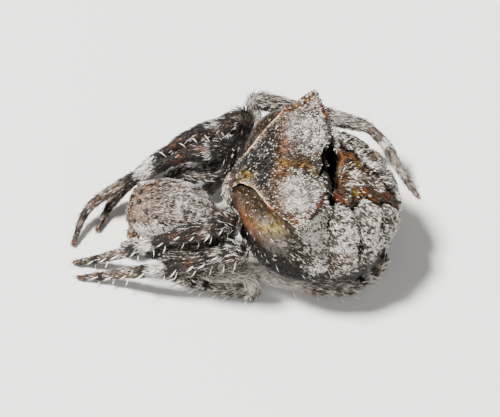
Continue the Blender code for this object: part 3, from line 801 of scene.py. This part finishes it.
# Legs: each is one hairy tube of horn from hip to toe, drawn in at its soft joints. The femur is hidden
# under the body, the knee and tibia are thick and dark, and the thin foot has dark and pale bands. Pale
# bristles stand out of the hair along the outer side.
LEG_AROUND = 22
LEG_HAIRS = 4600
LEG_HAIR_WIDE = 0.021
BRISTLE_WIDE = 0.055
BRISTLE_COLOUR = "EBE3D2"
POSE = {
    "left_1": dict(
        femur=((1.02, -0.62, 1.24), (1.46, -0.56, 1.26), (1.74, 0.1, 1.8),
               (1.68, 1.1, 2.12), (1.62, 2.32, 2.82)),
        knee=(1.66, 2.54, 4.02), ankle=(1.74, 0.5, 2.96), heel=(1.42, -2.3, 0.62), toe=(1.4, -3.42, 0.12)),
    "left_2": dict(
        femur=((1.1, 0.1, 1.2), (1.62, 0.16, 1.12), (2.02, 0.8, 1.24),
               (2.1, 1.75, 1.55), (2.27, 2.72, 2.25)),
        knee=(2.4, 2.93, 3.38), ankle=(2.42, 1.08, 2.22), heel=(2.04, -2.05, 0.45), toe=(2.04, -3.18, 0.12)),
    "left_3": dict(
        femur=((1.06, 0.82, 1.16), (1.46, 0.86, 0.9), (1.75, 1.5, 0.8),
               (1.94, 2.25, 0.98), (1.98, 3.02, 1.16)),
        knee=(2.08, 3.3, 0.36), ankle=(2.05, 1.85, 0.3), heel=(1.8, 0.6, 0.26), toe=(1.6, -0.15, 0.12)),
    "left_4": dict(
        femur=((0.84, 1.5, 1.12), (1.0, 1.85, 0.82), (1.08, 2.6, 0.56),
               (1.36, 3.7, 0.52), (1.74, 4.84, 0.52)),
        knee=(1.8, 5.24, 0.56), ankle=(1.55, 6.85, 0.32), heel=(0.35, 7.85, 0.26), toe=(-0.7, 7.6, 0.12)),
    "right_1": dict(
        femur=((-1.02, -0.62, 1.24), (-1.46, -0.56, 1.26), (-1.74, 0.1, 1.8),
               (-1.62, 1.0, 2.0), (-1.5, 1.95, 2.58)),
        knee=(-1.68, 2.1, 3.86), ankle=(-1.86, 0.32, 2.9), heel=(-0.62, -3.05, 0.86),
        toe=(0.62, -3.55, 0.12)),
    "right_2": dict(
        femur=((-1.1, 0.1, 1.2), (-1.62, 0.18, 1.12), (-2.15, 0.74, 1.34),
               (-2.55, 1.4, 1.95), (-2.9, 2.3, 2.95)),
        knee=(-2.98, 2.6, 4.08), ankle=(-2.46, 0.0, 2.75), heel=(-1.15, -2.3, 0.5), toe=(-0.1, -2.75, 0.12)),
    "right_3": dict(
        femur=((-1.06, 0.82, 1.16), (-1.46, 0.94, 0.95), (-1.9, 1.2, 0.8),
               (-2.35, 1.4, 0.95), (-2.8, 1.62, 1.3)),
        knee=(-3.4, 1.5, 1.3), ankle=(-3.2, 0.2, 0.7), heel=(-2.85, -0.9, 0.3), toe=(-2.6, -1.5, 0.12)),
    "right_4": dict(
        femur=((-0.84, 1.5, 1.12), (-1.2, 1.9, 0.92), (-2.2, 2.35, 1.0),
               (-3.1, 2.6, 1.85), (-3.82, 2.72, 3.15)),
        knee=(-3.95, 2.35, 3.86), ankle=(-4.2, 6.85, 2.36), heel=(-3.3, 8.2, 0.75), toe=(-2.86, 8.8, 0.12)),
}
# Half thicknesses along each length, and the share that the thinner hind legs have of the two outer ones.
FEMUR_THICK = (0.17, 0.18, 0.24, 0.24, 0.24)
LAST_FEMUR_THICK = (0.17, 0.18, 0.4, 0.4, 0.24)
TIBIA_THICK = np.array((0.3, 0.37, 0.3, 0.36, 0.3, 0.26))
FOOT_THICK = np.array((0.21, 0.22, 0.16, 0.08))
STOUT = {"3": 0.85, "4": 0.9}
# How much a leg is drawn in at a joint, and over what share of a length.
PINCH = 0.16
PINCH_LONG = 0.06
# The dark bands of the foot, as shares of its length, after the dark ankle.
FOOT_BANDS = ((0.32, 0.4), (0.69, 0.77), (0.85, 0.92))
# The brightness of the hair, partly painted light: full on the left third leg, more on the left fourth to
# lift it out of the abdomen's shade, and less on the others.
HAIR_PAINTED_LIGHT = {"left_3": 1.0, "left_4": 1.15}
OTHER_HAIR_PAINTED_LIGHT = 0.85
# Where the bristles stand, two at each place, by the count of lengths from the hip.
BRISTLE_PLACES = np.concatenate([np.linspace(0.45, 0.95, 3), np.linspace(1.15, 1.9, 4),
                                 2 + np.linspace(0.08, 0.75, 6)])


def smooth_path(knots, steps):
    """Points along a Catmull-Rom curve through the knots, steps to each span."""
    knots = np.asarray(knots, float)
    padded = np.vstack([2 * knots[0] - knots[1], knots, 2 * knots[-1] - knots[-2]])
    u = (np.arange(steps) / steps)[:, None]
    spans = []
    for a, b, c, d in zip(padded, padded[1:], padded[2:], padded[3:]):
        bend = 2 * a - 5 * b + 4 * c - d
        spans.append(0.5 * (2 * b + (c - a) * u + bend * u**2 + (3 * b - a - 3 * c + d) * u**3))
    return np.vstack(spans + [knots[-1:]])


def tube(path, thick, sides):
    """Round rings square to a path, turned as little as possible from one to the next, above the floor."""
    along = np.gradient(path, axis=0)
    along /= np.linalg.norm(along, axis=1)[:, None]
    across = np.cross(along[0], (0.3, 0.2, 0.93))
    turn = 2 * math.pi * np.arange(sides) / sides
    rings = []
    for centre, forward, radius in zip(path, along, thick):
        across = across - forward * (across @ forward)
        across /= np.linalg.norm(across)
        offset = np.cos(turn)[:, None] * across + np.sin(turn)[:, None] * np.cross(forward, across)
        rings.append(centre + radius * offset)
    rings = np.array(rings)
    rings[..., 2] = np.maximum(rings[..., 2], 0.02)
    return rings, along


def leg_line(pair, femur, knee, ankle, heel, toe):
    """The middle line of a leg, its half thickness and its place: 0 to 1 along the femur, 1 to 2 along the
    tibia and 2 to 3 along the foot.

    Each length is a curve through its knots with an exponential pinch at its ends, and line and thickness
    are then averaged with their neighbours five times.
    """
    knee, ankle, heel, toe = (np.array(p) for p in (knee, ankle, heel, toe))
    forward = (heel - ankle) / np.linalg.norm(heel - ankle)
    bow = np.array([math.copysign(0.12, knee[0]), 0, 0.12])
    stout = STOUT.get(pair, 1.0)
    lengths = (
        (np.array(femur), LAST_FEMUR_THICK if pair == "4" else FEMUR_THICK),
        (np.array([knee, (knee + ankle) / 2, ankle]), TIBIA_THICK * stout),
        (np.array([ankle + forward * 0.2, (ankle + heel) / 2 + bow, heel, toe]), FOOT_THICK * stout),
    )
    paths, radii, places = [], [], []
    for start, (knots, sizes) in enumerate(lengths):
        path = smooth_path(knots, 14)
        share = np.linspace(0, 1, len(path))
        thick = np.interp(share, np.linspace(0, 1, len(sizes)), sizes)
        pinch = 1 - PINCH * np.exp(-share / PINCH_LONG)
        pinch -= PINCH * np.exp(-(1 - share) / PINCH_LONG) * (start < 2)
        paths.append(path)
        radii.append(thick * pinch)
        places.append(start + share)
    path, thick = np.vstack(paths), np.concatenate(radii)
    for _ in range(5):
        path[1:-1] = path[1:-1] / 2 + (path[:-2] + path[2:]) / 4
        thick[1:-1] = thick[1:-1] / 2 + (thick[:-2] + thick[2:]) / 4
    return path, thick, np.concatenate(places)


def leg_markings(label, rings, place, spots):
    """Colours of a leg and the share of its hairs that are pale: the hind legs grey, the front ones dark
    with a pale ring, and the foot in bands whose edges wander a little."""
    hind = label[-1] in "34"
    foot = np.clip(place - 2, 0, 1)
    tibia = smooth(place, 0.98, 1.02) * smooth(place, 2.02, 1.98)
    on_foot = smooth(place, 2.0, 2.02)
    blur = foot + 0.03 * (mottle(rings, 0.12, 80) - 0.5)
    dark = smooth(blur, 0.2, 0.18)
    for low, high in FOOT_BANDS:
        dark = dark + between(blur, low, high, 0.02)
    dark = np.clip(dark, 0, 1)
    tint = paint(
        np.full(rings.shape, linear("A8A299" if hind else "3E3731")),
        ("B5AEA6" if hind else "625A50", smooth(spots, 0.45, 0.75)),
        ("7A726B" if hind else "1E1914", tibia * 0.9),
        ("8E867C", hump(place, 1.4, 0.035) * 0.8),
        ("5A4234", tibia * smooth(spots, 0.55, 0.75) * 0.8),
        ("5E3318", hump(place, 1.985, 0.03) * 0.7),
        ("7E7266" if hind else "54463A", on_foot),
        ("5C4A3A", on_foot * smooth(spots, 0.4, 0.6) * smooth(foot, 0.38, 0.45) * smooth(foot, 0.7, 0.66)),
        ("C9C3BD", on_foot * smooth(blur, 0.18, 0.22) * smooth(blur, 0.34, 0.3)),
        ("1E1815", on_foot * dark * (0.65 if label == "right_4" else 1)),
        ("55301C", on_foot * smooth(foot, 0.93, 0.98)))
    pale = 0.34 + on_foot * (0.35 * (1 - dark) - 0.34 * dark) - 0.2 * tibia + 0.45 * hump(place, 1.4, 0.05)
    if hind:
        pale += 0.5 * (1 - 0.5 * tibia) * (1 - on_foot)
    elif label.startswith("left"):
        pale += 0.3 * hump(place, 1.04, 0.09) - 0.25 * on_foot * (foot > 0.34)
    else:
        pale += -0.06 - 0.25 * on_foot * (foot > 0.34)
    return tint, pale


# Leg horn is smooth under its hair, and bristles are smoother and shinier than hair.
leg_skin = skin_material("horny_leg_skin", 0.08, 0.01, 0.5, 0.35)
leg_hair = coat_material("leg_hair", 0.5)
bristle = coat_material("white_bristle", 0.4)
for number, (label, joints) in enumerate(POSE.items()):
    rng = np.random.default_rng(60 + number)
    path, thick, along_leg = leg_line(label[-1], **joints)
    skin, along = tube(path, thick, LEG_AROUND)
    place = np.broadcast_to(along_leg[:, None], skin.shape[:2])
    tint, pale = leg_markings(label, skin, place, mottle(skin, 0.3, 70 + number))
    closed_skin(f"leg_{label}_skin", skin, (path[0], path[-1] + along[-1] * 0.04), tint, 0, 0.4, leg_skin,
                [f"leg_{label}_{length}" for length in ("femur", "tibia", "foot")])
    # The hair: thicker and longer on the stout lengths, and longest by the knee of a front leg.
    facing = row_normals(skin)
    girth = np.broadcast_to((thick / 0.3)[:, None], skin.shape[:2])
    spot, row, column, unwrap = scatter(rng, skin, 0.3 + girth, LEG_HAIRS)
    lean = along[row] + rng.normal(0, 0.22, (len(spot), 3))
    shades = hair_colours(rng, spot, tint[row, column], pale[row, column])
    # Painted light: the hair brightness differs from leg to leg as the light falls.
    shades = shades * HAIR_PAINTED_LIGHT.get(label, OTHER_HAIR_PAINTED_LIGHT)
    tousle = 0 if label[-1] in "34" else 0.5
    size = (0.14 + 0.14 * girth[row, column]) * rng.uniform(0.7, 1.3, len(spot))
    size = size * (1 + tousle * hump(place, 1.04, 0.09)[row, column])
    grow_hairs(f"leg_{label}_hair", leg_hair, spot, facing[row, column], lean, size,
               LEG_HAIR_WIDE, shades, unwrap, lift=rng.uniform(0.05, 0.38, len(spot)))
    # The bristles: at each place one points out and a little down, and one out and up.
    outer = np.array([math.copysign(0.8, joints["knee"][0]), 0, -0.35])
    row = np.repeat(np.searchsorted(along_leg, BRISTLE_PLACES), 2)
    swing = outer + rng.normal(0, 0.18, (len(row), 3))
    swing = swing + np.tile(((0, 0, -0.2), (0, 0, 0.9)), (len(BRISTLE_PLACES), 1))
    column = np.argmax(np.sum(facing[row] * swing[:, None], axis=-1), axis=1)
    shades = linear(BRISTLE_COLOUR) * rng.uniform(0.85, 1.05, (len(row), 1))
    unwrap = np.column_stack([column / skin.shape[1], row / skin.shape[0]])
    grow_hairs(f"leg_{label}_bristles", bristle, skin[row, column], facing[row, column],
               along[row] + rng.normal(0, 0.15, (len(row), 3)), rng.uniform(0.3, 0.42, len(row)),
               BRISTLE_WIDE, shades, unwrap, lift=rng.uniform(0.95, 1.35, len(row)), flat=0.8)


# Jaws, feelers, breastplate, stalk and spinnerets: small parts of dark horn under the head and at both
# ends of the body, each a short tube, tucked in and mostly out of sight, with sparse hair on it. The
# breastplate is a flat plate between the hips, and the stalk joins the shield to the abdomen.
SMALL_AROUND = 28
SMALL_HAIR_LONG = 0.18
SMALL_HAIR_WIDE = 0.025
FEELER_HAIRS = 420
OTHER_SMALL_HAIRS = 160
# Each part's middle line, its half thicknesses along it, and how many times wider than thick it is.
small = {
    "sternum": (((0, -0.7, 1.06), (0, -0.2, 1.02), (0, 0.5, 1.0), (0, 1.15, 1.04)),
                (0.1, 0.14, 0.13, 0.04), 3.6),
    "pedicel": (((0, 1.7, 1.84), (0, 1.86, 1.86), (0, 2.06, 1.9), (0, 2.34, 1.96)),
                (0.17, 0.17, 0.17, 0.2), 1),
}
for side, sign in (("left", 1), ("right", -1)):
    small["chelicera_" + side] = (
        ((sign * 0.34, -1.1, 1.4), (sign * 0.34, -1.22, 1.05), (sign * 0.35, -1.32, 0.8),
         (sign * 0.28, -1.24, 0.46)), (0.25, 0.25, 0.26, 0.13), 1)
    small["pedipalp_" + side] = (
        ((sign * 0.84, -1.06, 1.06), (sign * 0.92, -1.34, 0.92), (sign * 0.82, -1.56, 0.62),
         (sign * 0.62, -1.62, 0.32)), (0.13, 0.16, 0.16, 0.09), 1)
    small["spinneret_" + side] = (
        ((sign * 0.26, 6.6, 1.3), (sign * 0.3, 6.86, 0.98), (sign * 0.28, 7.16, 0.76),
         (sign * 0.24, 7.38, 0.7)), (0.24, 0.24, 0.17, 0.1), 1)
# Dark horn with hardly any grain, so it has a dull polish.
small_skin = skin_material("dark_horn_skin", 0.1, 0.008, 0.4, 0.3)
for number, (name, (knots, sizes, wide)) in enumerate(small.items()):
    rng = np.random.default_rng(90 + number)
    feeler = name.startswith("pedipalp")
    path = smooth_path(knots, 10)
    thick = np.interp(np.linspace(0, 1, len(path)), np.linspace(0, 1, len(sizes)), sizes)
    skin, along = tube(path, thick, SMALL_AROUND)
    skin[..., 0] = path[:, None, 0] + (skin[..., 0] - path[:, None, 0]) * wide
    tint = paint(
        np.full(skin.shape, linear("7A6A60" if feeler else "4A342A")),
        ("9A8E86" if feeler else "6B4A38", smooth(mottle(skin, 0.2, 95), 0.4, 0.7)))
    closed_skin(name + "_skin", skin, (path[0], path[-1] + along[-1] * thick[-1] * 0.4), tint, 0, 0.4,
                small_skin, [name])
    hairs = FEELER_HAIRS if feeler else OTHER_SMALL_HAIRS
    spot, row, column, unwrap = scatter(rng, skin, np.ones(skin.shape[:2]), hairs)
    shades = hair_colours(rng, spot, tint[row, column], np.full(len(spot), 0.5))
    lean = along[row] + rng.normal(0, 0.2, (len(spot), 3))
    grow_hairs(name + "_hair", leg_hair, spot, row_normals(skin)[row, column], lean,
               SMALL_HAIR_LONG * rng.uniform(0.7, 1.3, len(spot)), SMALL_HAIR_WIDE, shades, unwrap,
               lift=rng.uniform(0.2, 0.5, len(spot)))


# Floor, light and camera: a plain matt floor of pale paper, a soft light from above on the camera's left
# with a broad weak one opposite, an even white sky, and a long lens that looks down on the left side.
FLOOR_HALF = 0.4
FLOOR_DROP = 0.00001
FLOOR_COLOUR = "D9D8D4"
SKY_BRIGHT = 0.32
paper, _, shader = start_material("pale_floor")
shader.inputs["Base Color"].default_value = (*linear(FLOOR_COLOUR), 1)
shader.inputs["Roughness"].default_value = 0.8
mesh = bpy.data.meshes.new("floor")
mesh.from_pydata([(across * FLOOR_HALF, along * FLOOR_HALF, -FLOOR_DROP)
                  for across, along in ((-1, -1), (1, -1), (1, 1), (-1, 1))], [], [(0, 1, 2, 3)])
mesh.materials.append(paper)
put_in_scene("floor", mesh)

world = bpy.data.worlds.new("studio")
world.use_nodes = True
world.node_tree.nodes["Background"].inputs["Color"].default_value = (1.0, 1.0, 1.0, 1)
world.node_tree.nodes["Background"].inputs["Strength"].default_value = SKY_BRIGHT
bpy.context.scene.world = world


def aim(made, place, target):
    """Puts a lamp or camera at a place, looking at the target."""
    made.location = place
    forward = np.array(target) - np.array(place)
    level = math.hypot(forward[0], forward[1])
    turn = math.atan2(forward[1], forward[0]) - math.pi / 2
    made.rotation_euler = (math.pi / 2 + math.atan2(forward[2], level), 0, turn)


# Places and the lamps' sizes in metres, and their power in watts.
TARGET = np.array([0.94, 0.30, 3.0]) * MM
LAMPS = (("key", (0.02, -0.10, 0.24), 0.045, 2.75), ("fill", (0.22, 0.16, 0.14), 0.2, 0.45))
CAMERA_WAY = np.array([0.570, 0.060, 0.819])
CAMERA_AWAY = 0.17
CAMERA_LENS = 340
for name, place, size, power in LAMPS:
    lamp = bpy.data.lights.new(name, "AREA")
    lamp.size = size
    lamp.energy = power
    aim(put_in_scene(name, lamp), place, TARGET)

camera = put_in_scene("camera", bpy.data.cameras.new("camera"))
aim(camera, TARGET + CAMERA_WAY / np.linalg.norm(CAMERA_WAY) * CAMERA_AWAY, TARGET)
camera.data.lens = CAMERA_LENS
camera.data.sensor_width = 36
camera.data.clip_start = 0.01
camera.data.clip_end = 5
bpy.context.scene.camera = camera
